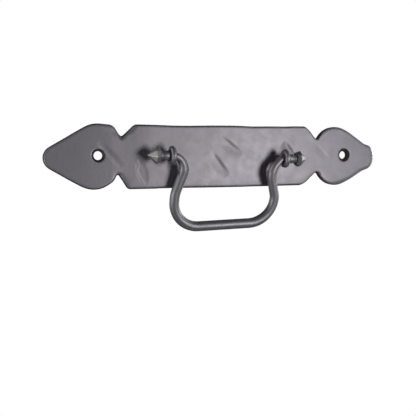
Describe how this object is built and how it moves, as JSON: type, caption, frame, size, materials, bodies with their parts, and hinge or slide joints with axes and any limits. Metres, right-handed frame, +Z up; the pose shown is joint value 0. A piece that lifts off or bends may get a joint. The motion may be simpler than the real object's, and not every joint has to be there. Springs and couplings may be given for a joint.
{
  "type": "bail pull on a backplate",
  "caption": "Hand-forged drop handle with swan necks and faceted finials, hung in ring eyes on a long spear-ended backplate, for a drawer, chest or cupboard door.",
  "frame": {"origin": "middle of the backplate's back face", "axes": "+X along the plate to the viewer's right, +Y into the surface it is screwed to, +Z up"},
  "size_m": [0.23, 0.0197, 0.0688],
  "materials": {
    "plate_coat": "satin black powder coat over hammered iron plate",
    "eye_coat": "satin black powder coat over bent iron wire",
    "bail_coat": "satin black powder coat over forged iron bar"
  },
  "bodies": {
    "plate": {"backplate": "plate_coat", "left_eye": "eye_coat", "right_eye": "eye_coat"},
    "bail": {"bail_handle": "bail_coat"}
  },
  "joints": [
    {"name": "bail_swing", "type": "hinge", "parent": "plate", "child": "bail", "pos_m": [0, -0.0137, -0.00045], "axis": [-0.9996, 0, 0.0273], "range_deg": [0, 203]}
  ]
}
